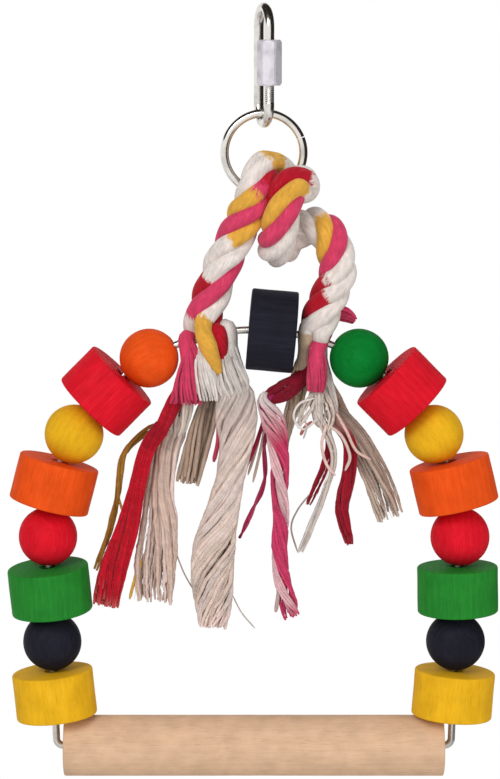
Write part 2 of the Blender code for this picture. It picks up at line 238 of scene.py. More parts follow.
bar_tree = sweep_tree()
nickel = metal("nickel", NICKEL, 0.16, 0.08)
gate_high = Vector((LINK_LEG, 0, LINK_GATE[0]))
gate_low = Vector((LINK_LEG, 0, LINK_GATE[1]))
loop = steps(gate_high, Vector((LINK_LEG, 0, LINK_BOWS[0] - 0.2)), 1.0)
loop += arc((0, LINK_BOWS[0]), LINK_LEG, 0, math.pi, BOW_STEPS)
loop += arc((0, LINK_BOWS[1]), LINK_LEG, math.pi, 2 * math.pi, BOW_STEPS)
loop += steps(Vector((LINK_LEG, 0, THREAD_END + 0.1)), gate_low, THREAD_PITCH / 8)
link_plane = Matrix.Rotation(LINK_TURN, 3, "Z")
link = bar("screw_link", [link_plane @ p for p in loop], LINK_ROD / 2, ROD_SIDES, nickel)
leg_axis = link_plane @ Vector((LINK_LEG, 0, 0)) * MM
for vertex in link.data.vertices:
    out = Vector((vertex.co.x - leg_axis.x, vertex.co.y - leg_axis.y, 0))
    height = vertex.co.z / MM
    if out.length < LINK_ROD * MM and THREAD_END < height <= LINK_GATE[1]:
        turn = height / THREAD_PITCH - math.atan2(out.y, out.x) / (2 * math.pi)
        groove = abs(2 * (turn % 1.0) - 1) * THREAD_DEPTH
        fade = min(1.0, (height - THREAD_END) / THREAD_PITCH)
        vertex.co -= out.normalized() * groove * fade * MM
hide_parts("quick_link")
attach(link, "link")

# Sleeve nut: hexagon steel, bored, with turned ends that round off its corners; its inner thread is not made.
# It screws along the gate leg and bridges the gap.
NUT_PLACE = (2.0706, -7.7274, -19.7)
NUT_HALF = 9.0
NUT_FLAT = 4.5
NUT_ROUND = 0.35
NUT_BORE = 2.3
NUT_MOUTH = 0.35
NUT_RIM = 4.35
NUT_SIDES = 96
NUT_LEVELS = [NUT_HALF - 0.12 * i for i in range(14)]
NUT_SHARP = 16
NUT_CORNER = math.radians(57.0)
NUT_CONE = 0.62
ZINC = (0.66, 0.63, 0.68)


def hexagon(angle):
    """Radius of the rounded hexagon at an angle from one of its corners."""
    from_flat = (angle + math.pi / 6) % (math.pi / 3) - math.pi / 6
    from_flat = math.pi / 6 - abs(from_flat)
    sharp = NUT_FLAT / math.cos(from_flat)
    corner = NUT_FLAT / math.cos(math.pi / 6)
    return sharp - NUT_ROUND * max(0.0, (sharp - NUT_FLAT) / (corner - NUT_FLAT)) ** 6


def all_round(sides):
    """Even angles round a circle."""
    return [2 * math.pi * i / sides for i in range(sides)]


def skin(rings, sides):
    """Closed skin through rings, each given as its radii all round and its height."""
    bm = bmesh.new()
    rows = [[bm.verts.new((r * math.cos(a), r * math.sin(a), height))
             for r, a in zip(radii, all_round(sides))] for radii, height in rings]
    for upper, lower in zip(rows, rows[1:] + rows[:1]):
        for i in range(sides):
            bm.faces.new((upper[i], lower[i], lower[(i + 1) % sides], upper[(i + 1) % sides]))
    bmesh.ops.recalc_face_normals(bm, faces=bm.faces)
    return bm


def solid(name, bm, sharp, material):
    """The skin as a smooth object, with edges that turn by more than so many degrees left sharp."""
    mesh = bpy.data.meshes.new(name)
    bm.to_mesh(mesh)
    bm.free()
    mesh.shade_smooth()
    mesh.set_sharp_from_angle(angle=math.radians(sharp))
    mesh.materials.append(material)
    return placed(name, mesh)


hexagons = [hexagon(angle - NUT_CORNER) for angle in all_round(NUT_SIDES)]
nut_rings = []
for level in NUT_LEVELS + [-level for level in reversed(NUT_LEVELS)]:
    cone = NUT_RIM + (NUT_HALF - abs(level)) * NUT_CONE
    nut_rings.append(([min(reach, cone) for reach in hexagons], level))
for level, radius in ((-NUT_HALF, NUT_BORE + NUT_MOUTH), (-NUT_HALF + NUT_MOUTH, NUT_BORE),
                      (NUT_HALF - NUT_MOUTH, NUT_BORE), (NUT_HALF, NUT_BORE + NUT_MOUTH)):
    nut_rings.append(([radius] * NUT_SIDES, level))
bm = skin(nut_rings, NUT_SIDES)
bmesh.ops.transform(bm, matrix=Matrix.Scale(MM, 4) @ Matrix.Translation(NUT_PLACE), verts=bm.verts)
zinc = metal("zinc_nut", ZINC, 0.45, 0.2, metallic=0.35)
nut = solid("sleeve_nut_hex", bm, NUT_SHARP, zinc)
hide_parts("sleeve_nut")
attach(nut, "nut")

# Ring: 3.4 mm steel wire rolled round and nickel plated, its two ends butted at the right.
# It hangs in the lower bow of the link and carries the rope.
RING_CENTRE = (0, -55.8)
RING_RADIUS = 15.8
RING_WIRE = 3.4
RING_JOINT = math.radians(22.0)
RING_GAP = 0.3
RING_STEPS = 150
half_gap = RING_GAP / RING_RADIUS / 2
circle = arc(RING_CENTRE, RING_RADIUS, RING_JOINT + half_gap, RING_JOINT + 2 * math.pi - half_gap,
             RING_STEPS)
hang_ring = bar("ring_wire", circle, RING_WIRE / 2, ROD_SIDES, nickel)
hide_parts("hang_ring")
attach(hang_ring, "ring")

# Rope: four soft cotton strands, dyed by the length, laid right-handed and turned once over the ring.
# The arch wire is pushed through both legs, and below it the lay opens into loose ends.
LEFT_CROSS = (-25.711, 0.0, -130.104)
RIGHT_CROSS = (20.106, 0.0, -130.783)
RING_LOW = (0.0, 0.0, -71.6)
LEFT_END = [(-3.5, -2.0, -24.0), (-2.0, -1.0, -14.0), (-0.5, 0.0, -6.0), (0.0, 0.0, 0.0),
            (1.6, -0.4, 9.0), (5.0, -1.0, 18.6)]
LEFT_LEG = [(-16.8, -3.2, -29.1), (-11.2, -6.0, -17.0)]
TURN = [(-6.8, -8.6, -7.6), (-3.8, -9.3, 0.4), (-1.6, -6.6, 7.0), (0.9, 0.0, 9.6), (4.0, 7.4, 8.0),
        (8.2, 10.4, 4.8), (12.4, 8.0, 2.8), (14.8, 2.2, 2.6), (14.4, -4.8, 3.4), (10.8, -9.8, 3.2),
        (8.0, -12.2, -2.4), (6.6, -11.6, -10.4), (5.3, -7.6, -17.9), (4.8, 0.0, -22.4),
        (6.8, 6.7, -22.6), (10.8, 9.8, -19.0), (16.1, 9.2, -14.8), (22.6, 5.2, -14.6)]
RIGHT_LEG = [(27.8, 1.8, -20.6), (29.6, 0.0, -33.0)]
RIGHT_END = [(5.0, -0.4, 15.0), (2.2, -0.2, 7.2), (0.0, 0.0, 0.0), (-0.9, 0.0, -9.0),
             (-0.4, 0.0, -18.5)]
STRAND_RADIUS = 3.55
STRAND_ORBIT = 4.2
STRAND_STEP = 1.0
STRAND_SIDES = 24
STRAND_UNEVEN = 0.035
KNOT_STEPS = 24
LAY_BLUR = 5
# Where the rope lies on the ring it is pressed thinner: the place and reach in mm, and the share.
RING_SEAT = 101.0
SEAT_REACH = 14
SEAT_PRESS = 0.1
DYE_BLUR = 0.5
# Turn of the lay, in degrees, at stations along the rope in mm.
LAY = [(0, -235), (43, 88), (56, 170), (68, 260), (79, 350), (87, 450), (97, 540), (112, 606), (142, 905),
       (150, 978), (161, 1066), (170, 1156), (198, 1395), (208, 1512), (217, 1590), (226, 1690),
       (235, 1783), (245, 1866), (259, 2008), (272, 2110)]
# Dyes of the cotton; maroon is also painted shade, in the crevice where the rope turns over the ring.
DYES = {"white": (0.80, 0.72, 0.67), "cream": (0.72, 0.61, 0.53), "yellow": (0.76, 0.40, 0.055),
        "pink": (0.66, 0.050, 0.13), "red": (0.46, 0.006, 0.020), "maroon_and_crevice_shade": (0.26, 0.006, 0.022),
        "beige": (0.60, 0.45, 0.31), "taupe": (0.44, 0.32, 0.25), "magenta": (0.34, 0.012, 0.10)}
# Whitish colour painted on the raised crowns of the cotton fibres, as a highlight.
CROWN_HIGHLIGHT_COLOUR = (0.80, 0.70, 0.66, 1)
# Each strand's dyes, with the station in mm where each one starts.
# From 94 to 121 mm, over the ring, the first two strands are given maroon as painted shade for the dark
# crevice there; at the right end maroon is a dye.
STRAND_DYES = [
    [(-99, "pink"), (20, "white"), (33, "pink"), (66, "yellow"), (88, "pink"), (91, "red"), (101, "maroon_and_crevice_shade"),
     (121, "white"), (229, "red"), (244, "pink")],
    [(-99, "yellow"), (33, "white"), (57, "pink"), (94, "maroon_and_crevice_shade"), (116, "white"), (144, "pink"),
     (175, "white"), (201, "pink"), (234, "white")],
    [(-99, "red"), (43, "white"), (68, "yellow"), (87, "white"), (103, "yellow"), (113, "white"),
     (141, "yellow"), (166, "white"), (205, "yellow"), (225, "white"), (252, "beige")],
    [(-99, "white"), (31, "red"), (50, "white"), (99, "yellow"), (107, "white"), (138, "red"),
     (159, "white"), (235, "red"), (253, "maroon_and_crevice_shade")]]
# Below the legs the lay opens, and each strand runs on for a little inside its loosened yarns:
# the station where each one leaves, then its points with their radii in mm.
LEFT_OPEN = (24, 32, 24, 24)
LEFT_TAILS = [
    [(-31.2, -1.0, -131, 3.3), (-31.0, -3.6, -138, 2.8), (-31.2, -4.8, -145, 1.6)],
    [(-24.3, -7.0, -127.5, 3.6), (-22.2, -7.2, -133.5, 3.6), (-19.9, -6.2, -139.5, 2.8),
     (-18.2, -4.2, -144, 1.4)],
    [(-18.8, -3.8, -127, 3.3), (-17.0, -3.6, -134, 2.7), (-17.2, -1.4, -142, 1.4)],
    [(-15.2, -0.6, -126, 3.4), (-13.6, -1.2, -133, 3.2), (-12.6, -1.8, -138, 2.2)]]
RIGHT_OPEN = 252.0
RIGHT_TAILS = [
    [(21.2, -4.4, -136, 3.2), (21.4, -4.8, -142, 2.8), (21.4, -4.8, -147, 1.8)],
    [(22.8, 1.2, -135, 3.1), (23.2, 2.2, -141, 2.6), (24.0, 2.8, -146, 1.6)],
    [(16.6, 1.0, -137, 3.0), (15.4, 2.2, -144, 2.6), (14.6, 3.2, -149, 1.8)],
    [(18.4, 2.8, -139, 3.2), (14.6, 2.0, -146.5, 3.2), (10.6, 0.4, -150, 2.2)]]


def smooth_path(points, step):
    """Even points along a smooth curve through the given ones, their run and the run at each one."""
    knots = np.array(points, float)
    knots = np.vstack([2 * knots[0] - knots[1], knots, 2 * knots[-1] - knots[-2]])
    share = np.linspace(0, 1, KNOT_STEPS, endpoint=False)[:, None]
    fine = [0.5 * (2 * b + (c - a) * share + (2 * a - 5 * b + 4 * c - d) * share ** 2
                   + (3 * b - a - 3 * c + d) * share ** 3)
            for a, b, c, d in zip(knots, knots[1:], knots[2:], knots[3:])]
    fine = np.vstack(fine + [knots[-2:-1]])
    run = np.r_[0, np.cumsum(np.linalg.norm(np.diff(fine, axis=0), axis=1))]
    even = np.linspace(0, run[-1], max(3, round(run[-1] / step)) + 1)
    smooth = np.stack([np.interp(even, run, fine[:, i]) for i in range(3)], axis=1)
    return smooth, even, run[::KNOT_STEPS]


def maths(tree, operation, *values):
    """Arithmetic on numbers."""
    return add_node(tree, "ShaderNodeMath", dict(enumerate(values)), operation=operation).outputs[0]


def times(tree, product, *factors):
    """Product of numbers."""
    for factor in factors:
        product = maths(tree, "MULTIPLY", product, factor)
    return product


def vector(tree, operation, *values):
    """Arithmetic on vectors; a vector is scaled by a number."""
    sockets = (0, "Scale") if operation == "SCALE" else (0, 1)
    made = add_node(tree, "ShaderNodeVectorMath", dict(zip(sockets, values)), operation=operation)
    return made.outputs["Vector"]


def mixed(tree, factor, first, second):
    """A number between two others."""
    return add_node(tree, "ShaderNodeMix", {"Factor": factor, 2: first, 3: second}).outputs[0]


def blend(tree, factor, first, second):
    """A colour between two others."""
    return add_node(tree, "ShaderNodeMix", {"Factor": factor, 6: first, 7: second},
                    data_type="RGBA").outputs[2]


def attribute(tree, name):
    """A named value of the mesh, for a material."""
    return add_node(tree, "ShaderNodeAttribute", attribute_name=name).outputs


def cotton(name, highlight_share, streak, twist, deep):
    """Soft spun cotton: dye from the points, fine fibres wound along the strand, painted shade where the
    fibres sink and a painted highlight on their raised crowns.
    """
    material, tree, shader = new_material(name)
    along = attribute(tree, "along")["Fac"]
    wound = add_node(tree, "ShaderNodeVectorRotate", {
        "Vector": attribute(tree, "around")["Vector"], "Angle": times(tree, along, twist)},
        rotation_type="Z_AXIS").outputs["Vector"]
    lift = add_node(tree, "ShaderNodeCombineXYZ", {"Z": times(tree, along, 70.0)}).outputs["Vector"]
    fibre = noise(tree, vector(tree, "ADD", wound, lift), streak, detail=5.0, roughness=0.7)
    patch = noise(tree, own_place(tree), scale=260.0, detail=4.0, roughness=0.6)
    fuzz = noise(tree, own_place(tree), scale=2400.0, detail=2.0)
    # Painted shade: where the fibres sink in the relief the dye is darkened down to deep; the patches vary it
    # at random.
    level = times(tree, span(tree, fibre, 0.28, 0.72, deep, 1.1), span(tree, patch, 0.3, 0.7, 0.86, 1.1))
    dye = blend(tree, span(tree, fibre, 0.47, 0.53, 0.0, 1.0),
                attribute(tree, "dye")["Color"], attribute(tree, "dye_on")["Color"])
    # Painted highlight: the raised crowns of the fibre relief are paled towards a whitish colour.
    crown_highlight = span(tree, fibre, 0.58, 0.8, 0.0, highlight_share)
    fill(tree, shader, {
        "Base Color": blend(tree, crown_highlight, vector(tree, "SCALE", dye, level), CROWN_HIGHLIGHT_COLOUR),
        "Normal": bump(tree, mixed(tree, 0.35, fibre, fuzz), 0.55, 0.0004),
        "Roughness": 0.92, "Specular IOR Level": 0.15, "Sheen Weight": 0.1, "Sheen Roughness": 0.5,
        "Subsurface Weight": 0.25, "Subsurface Radius": (1.0, 0.7, 0.6), "Subsurface Scale": 0.0012})
    return material


def dyed_bars(name, paths, thick, dyes, dyes_on, sides, material):
    """Round bars along polylines in mm, with a radius and two neighbouring dyes at every point."""
    marks = {"thick": ("FLOAT", "value", np.concatenate(thick)),
             "dye": ("FLOAT_COLOR", "color", np.concatenate(dyes)),
             "dye_on": ("FLOAT_COLOR", "color", np.concatenate(dyes_on))}
    return along_paths(name, bar_tree, paths, marks, {"Sides": sides, "Material": material})


def offset(points, origin):
    """The points moved by an origin."""
    return [tuple(Vector(p) + Vector(origin)) for p in points]


route = offset(LEFT_END, LEFT_CROSS) + offset(LEFT_LEG + TURN + RIGHT_LEG, RING_LOW)
route += offset(RIGHT_END, RIGHT_CROSS)
axis, station, _ = smooth_path(route, STRAND_STEP)
ahead = np.gradient(axis, axis=0)
ahead /= np.linalg.norm(ahead, axis=1)[:, None]
side = np.zeros_like(axis)
side[0] = np.cross(ahead[0], (0, 1, 0))
side[0] /= np.linalg.norm(side[0])
for i in range(1, len(axis)):
    side[i] = side[i - 1] - ahead[i] * (side[i - 1] @ ahead[i])
    side[i] /= np.linalg.norm(side[i])
across = np.cross(ahead, side)
lay = np.radians(np.interp(station, [s for s, _ in LAY], [a for _, a in LAY]))
window = np.full(2 * LAY_BLUR + 1, 1 / (2 * LAY_BLUR + 1))
lay = np.convolve(np.pad(lay, LAY_BLUR, mode="reflect", reflect_type="odd"), window, "valid")
over_ring = np.exp(-((station - RING_SEAT) / SEAT_REACH) ** 2)
rope_paths, rope_dyes, rope_next, rope_thick = [], [], [], []
for number, dyes in enumerate(STRAND_DYES):
    angle = lay + number * math.pi / 2
    orbit = (STRAND_ORBIT * (1 - SEAT_PRESS * over_ring))[:, None]
    helix = axis + orbit * (np.cos(angle)[:, None] * side + np.sin(angle)[:, None] * across)
    inside = [i for i in range(0, len(axis), 2) if LEFT_OPEN[number] < station[i] < RIGHT_OPEN]
    laid = [(*helix[i], STRAND_RADIUS) for i in inside]
    left, right = LEFT_TAILS[number][::-1], RIGHT_TAILS[number]
    path, run, at = smooth_path([k[:3] for k in left + laid + right], STRAND_STEP)
    stops = [0.0] * len(left) + [station[i] for i in inside] + [station[-1]] * len(right)
    uneven = 1 + STRAND_UNEVEN * np.sin(run * 0.55 + number)
    thick = np.interp(run, at, [k[3] for k in left + laid + right]) * uneven
    where = np.interp(run, at, stops)
    starts = [start for start, _ in dyes]
    for store, lead in ((rope_dyes, -DYE_BLUR), (rope_next, DYE_BLUR)):
        picked = np.searchsorted(starts, where + lead, "right") - 1
        store.append(np.array([(*DYES[dyes[i][1]], 1.0) for i in picked]))
    rope_paths.append(path)
    rope_thick.append(thick * MM)
rope_cotton = cotton("rope_cotton", 0.10, 3.4, 130.0, 0.74)
rope = dyed_bars("twisted_rope", rope_paths, rope_thick, rope_dyes, rope_next, STRAND_SIDES, rope_cotton)
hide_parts("rope")
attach(rope, "rope")

# Loose ends: the opened strands combed out into bundles of soft yarn, hanging from the rope's ends.
# Each has how its yarns lie, its points with half widths in mm, the first where the yarns gather in
# the rope, and its dyes: those of the root, on most painted darker as the shade under the rope's end,
# the length, the tip, and every other yarn or one ply.
TASSELS = {
    "tassel_gold": {
        "slot": "cotton_gold", "diameter": 3.0, "yarns": 6, "hairs": 16, "thick": 1.5, "turns": 24.0,
        "flat": 0.8, "wander": 0.35, "shortest": 0.82,
        "points": [(-31.4, 6.6, -163.4, 1.2), (-34.2, 7, -165, 1.8), (-46.4, 7, -169.1, 1.8),
            (-56.9, 6, -179.8, 1.7), (-60.1, 6, -196.2, 1.5), (-63.4, 6.5, -212.6, 1.6),
            (-69.3, 7, -227.3, 1.5)],
        "dyes": ((0.34, 0.17, 0.03), (0.42, 0.21, 0.035), (0.5, 0.3, 0.08), (0.33, 0.15, 0.02))},
    "tassel_red": {
        "slot": "cotton_red", "diameter": 7.0, "yarns": 92, "hairs": 60, "thick": 1.4, "turns": 2.5,
        "flat": 0.42, "wander": 0.6, "shortest": 0.88,
        "points": [(-39.6, -3.9, -163.6, 1.6), (-41.5, -5, -166.6, 3.4), (-47.4, -5, -175.9, 3.2),
            (-51.6, -4.5, -192.1, 3.3), (-55.6, -4, -208.5, 4.6), (-61.2, -3, -225, 5.6),
            (-64.8, -2, -240.8, 5.6)],
        "dyes": ((0.32, 0.004, 0.014), (0.56, 0.004, 0.018), (0.62, 0.1, 0.1), (0.5, 0.004, 0.016))},
    "tassel_cream": {
        "slot": "cotton_cream", "diameter": 11.5, "yarns": 44, "hairs": 110, "thick": 1.6, "turns": 3.0,
        "flat": 0.5, "wander": 1.1, "shortest": 0.86,
        "points": [(-33.6, 1.6, -163.0, 2.4), (-36.4, 4, -169.4, 4.8), (-39.6, 3, -177, 5.4),
            (-42.3, 2.5, -192.1, 5.6), (-42.7, 2, -208.5, 7.8), (-44.6, 1, -225, 8.7),
            (-45.6, 0, -239.4, 8.2)],
        "dyes": ((0.6, 0.46, 0.4), (0.74, 0.57, 0.51), (0.71, 0.54, 0.47), (0.62, 0.45, 0.37))},
    "tassel_taupe_brush": {
        "slot": "cotton_taupe", "diameter": 5.6, "yarns": 26, "hairs": 50, "thick": 1.7, "turns": 5.0,
        "flat": 0.6, "wander": 0.5, "shortest": 0.9,
        "points": [(-19.8, 4.0, -152.6, 1.6), (-20.9, 4.8, -155.6, 4.2), (-24.6, 4.6, -167, 5.0),
            (-27.7, 4, -177.7, 5.2), (-31.4, 3, -191, 5.2)],
        "dyes": ((0.42, 0.31, 0.24), (0.47, 0.34, 0.26), (0.42, 0.31, 0.24), (0.4, 0.28, 0.21))},
    "tassel_cream_ply": {
        "slot": "cotton_cream", "diameter": 12.0, "yarns": 130, "hairs": 120, "thick": 1.7, "turns": -11.0,
        "flat": 0.6, "wander": 1.0, "shortest": 0.89,
        "points": [(-11.9, -2.0, -146.6, 3.0), (-11.6, -2, -152.6, 7.6), (-11.1, -3, -163, 8.6),
            (-11.3, -4, -174, 6.4), (-13.8, -4, -188, 5.6), (-17, -4, -202, 6.6),
            (-20, -4, -214.6, 8.4), (-21, -3.5, -227, 8.6), (-20.6, -3, -239.2, 7.6),
            (-20.9, -2, -249.6, 5.8)],
        "dyes": ((0.58, 0.5, 0.46), (0.73, 0.58, 0.52), (0.88, 0.66, 0.6), (0.74, 0.58, 0.5))},
    "tassel_pink_thin": {
        "slot": "cotton_pink", "diameter": 2.4, "yarns": 4, "hairs": 12, "thick": 1.05, "turns": 40.0,
        "plies": 2, "flat": 0.9, "wander": 0.3, "shortest": 0.9,
        "points": [(3.2, 1.6, -157.4, 0.9), (2.6, 2, -160.1, 1.1), (0.6, 1, -172.7, 1.2),
            (0.4, 0, -186.6, 1.2), (-4, -1, -200.7, 1.3), (-10.3, -1, -212.6, 1.2)],
        "dyes": ((0.24, 0.01, 0.04), (0.34, 0.014, 0.06), (0.24, 0.01, 0.05), (0.42, 0.04, 0.1))},
    "tassel_pink_twist": {
        "slot": "cotton_pink", "diameter": 6.0, "yarns": 33, "hairs": 50, "thick": 1.3, "turns": 20.0,
        "plies": 3, "flat": 0.8, "wander": 0.45, "shortest": 0.975,
        "points": [(1.0, -4.0, -152.4, 1.2), (0.4, -4.5, -155.6, 3.4), (4, -5, -164.8, 4.9),
            (6.2, -4.5, -178, 4.0), (6.5, -4, -192, 3.6), (7.1, -3, -204.4, 3.3),
            (6.3, -3, -218, 3.3), (8, -2.5, -232, 3.5), (11.9, -2, -245.6, 4.0)],
        "dyes": ((0.66, 0.55, 0.53), (0.6, 0.045, 0.13), (0.6, 0.05, 0.14), (0.74, 0.44, 0.46))},
    "tassel_beige": {
        "slot": "cotton_taupe", "diameter": 4.0, "yarns": 16, "hairs": 40, "thick": 1.2, "turns": 4.0,
        "flat": 0.6, "wander": 0.6, "shortest": 0.7,
        "points": [(14.0, 4.6, -152.6, 2.0), (13.6, 5, -155.2, 3.6), (10.6, 5.5, -164.5, 3.2),
            (8.4, 6, -175.5, 2.2), (8.2, 5.5, -186.5, 1.4)],
        "dyes": ((0.62, 0.46, 0.33), (0.62, 0.5, 0.4), (0.52, 0.42, 0.34), (0.56, 0.42, 0.31))},
    "tassel_dark_red": {
        "slot": "cotton_red", "diameter": 3.2, "yarns": 9, "hairs": 24, "thick": 1.2, "turns": 10.0,
        "flat": 0.7, "wander": 0.6, "shortest": 0.87,
        "points": [(20.0, 4.6, -155.6, 1.2), (20.6, 5, -158.4, 1.8), (26.5, 4, -171.6, 2.0),
            (25.3, 4, -183.1, 2.0), (18.6, 3, -199.6, 1.8)],
        "dyes": ((0.52, 0.34, 0.28), (0.3, 0.006, 0.022), (0.34, 0.05, 0.05), (0.26, 0.006, 0.02))},
    "tassel_white": {
        "slot": "cotton_white", "diameter": 3.0, "yarns": 7, "hairs": 24, "thick": 1.1, "turns": 9.0,
        "flat": 0.6, "wander": 0.4, "shortest": 0.92,
        "points": [(21.4, -3.2, -158.2, 1.0), (21.7, -3, -160.9, 1.6), (28.1, -4, -177.7, 1.5),
            (23.3, -3, -196.2, 1.6), (14.8, -2, -218.7, 1.4)],
        "dyes": ((0.72, 0.62, 0.57), (0.74, 0.66, 0.62), (0.62, 0.55, 0.5), (0.62, 0.52, 0.46))},
    "tassel_red_right": {
        "slot": "cotton_red", "diameter": 4.6, "yarns": 18, "hairs": 40, "thick": 1.2, "turns": 7.0,
        "flat": 0.55, "wander": 0.7, "shortest": 0.9,
        "points": [(27.4, 0.6, -159.0, 1.4), (27.8, 0, -162.6, 2.6), (34.6, -1, -173, 2.6),
            (34.6, -2, -186, 2.8), (32, -2, -198.2, 3.0), (32.8, -1.5, -206.4, 2.6),
            (35, -1, -215.5, 1.8)],
        "dyes": ((0.6, 0.4, 0.34), (0.36, 0.006, 0.022), (0.34, 0.02, 0.03), (0.3, 0.005, 0.018))},
    "tassel_taupe": {
        "slot": "cotton_taupe", "diameter": 7.5, "yarns": 32, "hairs": 60, "thick": 1.35, "turns": 3.0,
        "flat": 0.5, "wander": 0.8, "shortest": 0.9,
        "points": [(28.8, 6.2, -160.4, 1.8), (30.8, 6.5, -163.2, 3.8), (38, 6, -172.6, 4.8),
            (45, 4, -186, 5.6), (49, 2.5, -196, 5.9), (52, 2, -205.2, 5.8)],
        "dyes": ((0.42, 0.31, 0.25), (0.52, 0.4, 0.32), (0.54, 0.44, 0.38), (0.44, 0.32, 0.26))},
}
YARN_STEP = 1.6
HAIR_RADIUS = 0.09
YARN_SIDES = 6
HAIR_SIDES = 3
SEED_STEP = 71
TASSEL_SEED = 5
DYE_INPUTS = ("Top", "Body", "Tip", "Second")


def bundle_tree():
    """Geometry nodes that spread a path into yarns: scattered, twisted, wavy, unevenly cut and hairy."""
    tree, given, line = path_tree("yarn_bundle", [
        ("Yarns", "Int"), ("Hairs", "Int"), ("Yarn Radius", "Float"), ("Hair Radius", "Float"),
        ("Turns", "Float"), ("Plies", "Int"), ("Flatness", "Float"), ("Wander", "Float"),
        ("Shortest", "Float"), ("Seed", "Int"), *[(key, "Color") for key in DYE_INPUTS]])
    calc, mult, vec = partial(maths, tree), partial(times, tree), partial(vector, tree)
    yarn = named(tree, "yarn", data_type="INT")
    spread = named(tree, "spread")
    spline = add_node(tree, "GeometryNodeSplineParameter").outputs
    tangent = add_node(tree, "GeometryNodeInputTangent").outputs["Tangent"]

    def chance(low, high, seed):
        """A random number for each yarn."""
        return add_node(tree, "FunctionNodeRandomValue", {2: low, 3: high, "ID": yarn, "Seed": seed},
                        data_type="FLOAT").outputs[1]

    def scattered(count, radius, fuller, looser, seed_step, sides):
        """Copies of the path moved aside, cut and given a round section; hairs have three sides."""
        copies = add_node(tree, "GeometryNodeDuplicateElements", {"Geometry": line, "Amount": count},
                          domain="SPLINE").outputs
        kept = stored(tree, copies["Geometry"], "yarn", copies["Duplicate Index"],
                      data_type="INT", domain="CURVE")
        seeds = [calc("ADD", given["Seed"], float(seed_step + SEED_STEP * i)) for i in range(5)]

        # Place across the bundle: round its own ply, and the ply round the bundle.
        twist = mult(spline["Length"], given["Turns"], 2 * math.pi)
        ply_turn = mult(calc("MODULO", yarn, given["Plies"]), calc("DIVIDE", 2 * math.pi, given["Plies"]))
        ply_angle = calc("ADD", ply_turn, twist)
        own_angle = calc("ADD", chance(0.0, 2 * math.pi, seeds[0]), twist)
        many = calc("GREATER_THAN", given["Plies"], 1.5)
        ply_reach = mult(many, 0.52, spread)
        reach = mult(fuller, calc("SQRT", chance(0.0, 1.0, seeds[1])))
        own_reach = mult(calc("SUBTRACT", 1.0, mult(many, 0.5)), mult(reach, spread))

        def swing(wave):
            return calc("ADD", mult(ply_reach, calc(wave, ply_angle)),
                        mult(own_reach, calc(wave, own_angle)))

        wide = calc("MAXIMUM", mult(spread, -1.0), mult(1.35, swing("COSINE")))
        wide = calc("MINIMUM", spread, wide)
        deep = mult(given["Flatness"], swing("SINE"))
        sideways = vec("NORMALIZE", vec("CROSS_PRODUCT", tangent, (0.0, 1.0, 0.0)))
        inward = add_node(tree, "ShaderNodeCombineXYZ", {"Y": deep}).outputs["Vector"]
        shift = vec("ADD", vec("SCALE", sideways, wide), inward)

        # Crimp, growing towards the tip.
        ripple = add_node(tree, "ShaderNodeCombineXYZ", {
            "X": mult(yarn, 3.7), "Y": mult(spline["Length"], 150.0), "Z": seeds[0]}).outputs["Vector"]
        crimp = add_node(tree, "ShaderNodeTexNoise", {
            "Vector": ripple, "Scale": 1.0, "Detail": 3.0, "Roughness": 0.55}).outputs["Color"]
        loosen = mult(given["Wander"], looser, span(tree, spline["Factor"], 0.0, 1.0, 0.5, 3.0))
        wave = vec("SCALE", vec("SUBTRACT", crimp, (0.5, 0.5, 0.5)), loosen)
        laid = add_node(tree, "GeometryNodeSetPosition", {
            "Geometry": kept, "Offset": vec("ADD", shift, wave)}).outputs["Geometry"]

        # Cut: two yarns are whole, the others end unevenly, and hairs are short lengths anywhere.
        if sides == HAIR_SIDES:
            begin = chance(0.0, 0.8, seeds[3])
            end = calc("MINIMUM", 1.0, calc("ADD", begin, chance(0.1, 0.3, seeds[4])))
        else:
            begin = 0.0
            whole = calc("LESS_THAN", yarn, 1.5)
            ragged = mult(calc("SUBTRACT", 1.0, given["Shortest"]), chance(0.0, 1.5, seeds[2]))
            fringe = mult(calc("SUBTRACT", 1.0, whole), chance(0.0, 0.014, seeds[4]))
            end = calc("MINIMUM", 1.0, calc("ADD", given["Shortest"], ragged))
            end = calc("MAXIMUM", whole, calc("SUBTRACT", end, fringe))
        cut = add_node(tree, "GeometryNodeTrimCurve", {
            "Curve": laid, "Start": begin, "End": end}).outputs["Curve"]

        # Dye, paler or darker from yarn to yarn, and thickness, less at the tip.
        kind = calc("MODULO", yarn, calc("MAXIMUM", given["Plies"], 2.0))
        shade = blend(tree, calc("LESS_THAN", kind, 0.5), given["Body"], given["Second"])
        if sides != HAIR_SIDES:
            # Near the root the Top colour: on most bundles the dye painted darker, as shade under the rope.
            shade = blend(tree, span(tree, spline["Factor"], 0.05, 0.25, 0.0, 1.0), given["Top"], shade)
            shade = blend(tree, span(tree, spline["Factor"], 0.94, 1.0, 0.0, 1.0), shade, given["Tip"])
        shade = vec("SCALE", shade, chance(0.86, 1.12, seeds[3]))
        dyed = stored(tree, cut, "along", spline["Length"])
        for layer in ("dye", "dye_on"):
            dyed = stored(tree, dyed, layer, shade, data_type="FLOAT_COLOR")
        point = calc("SUBTRACT", 1.0, mult(0.4, calc("POWER", spline["Factor"], 12.0)))
        thick = mult(radius, mult(point, chance(0.8, 1.2, seeds[1])))
        return tube(tree, dyed, sides, thick)

    both = add_node(tree, "GeometryNodeJoinGeometry")
    for strands in (scattered(given["Yarns"], given["Yarn Radius"], 1.0, 1.0, 0, YARN_SIDES),
                    scattered(given["Hairs"], given["Hair Radius"], 1.12, 1.6, 500, HAIR_SIDES)):
        fill(tree, both, {"Geometry": strands})
    return hand_out(tree, both.outputs["Geometry"], given["Material"])


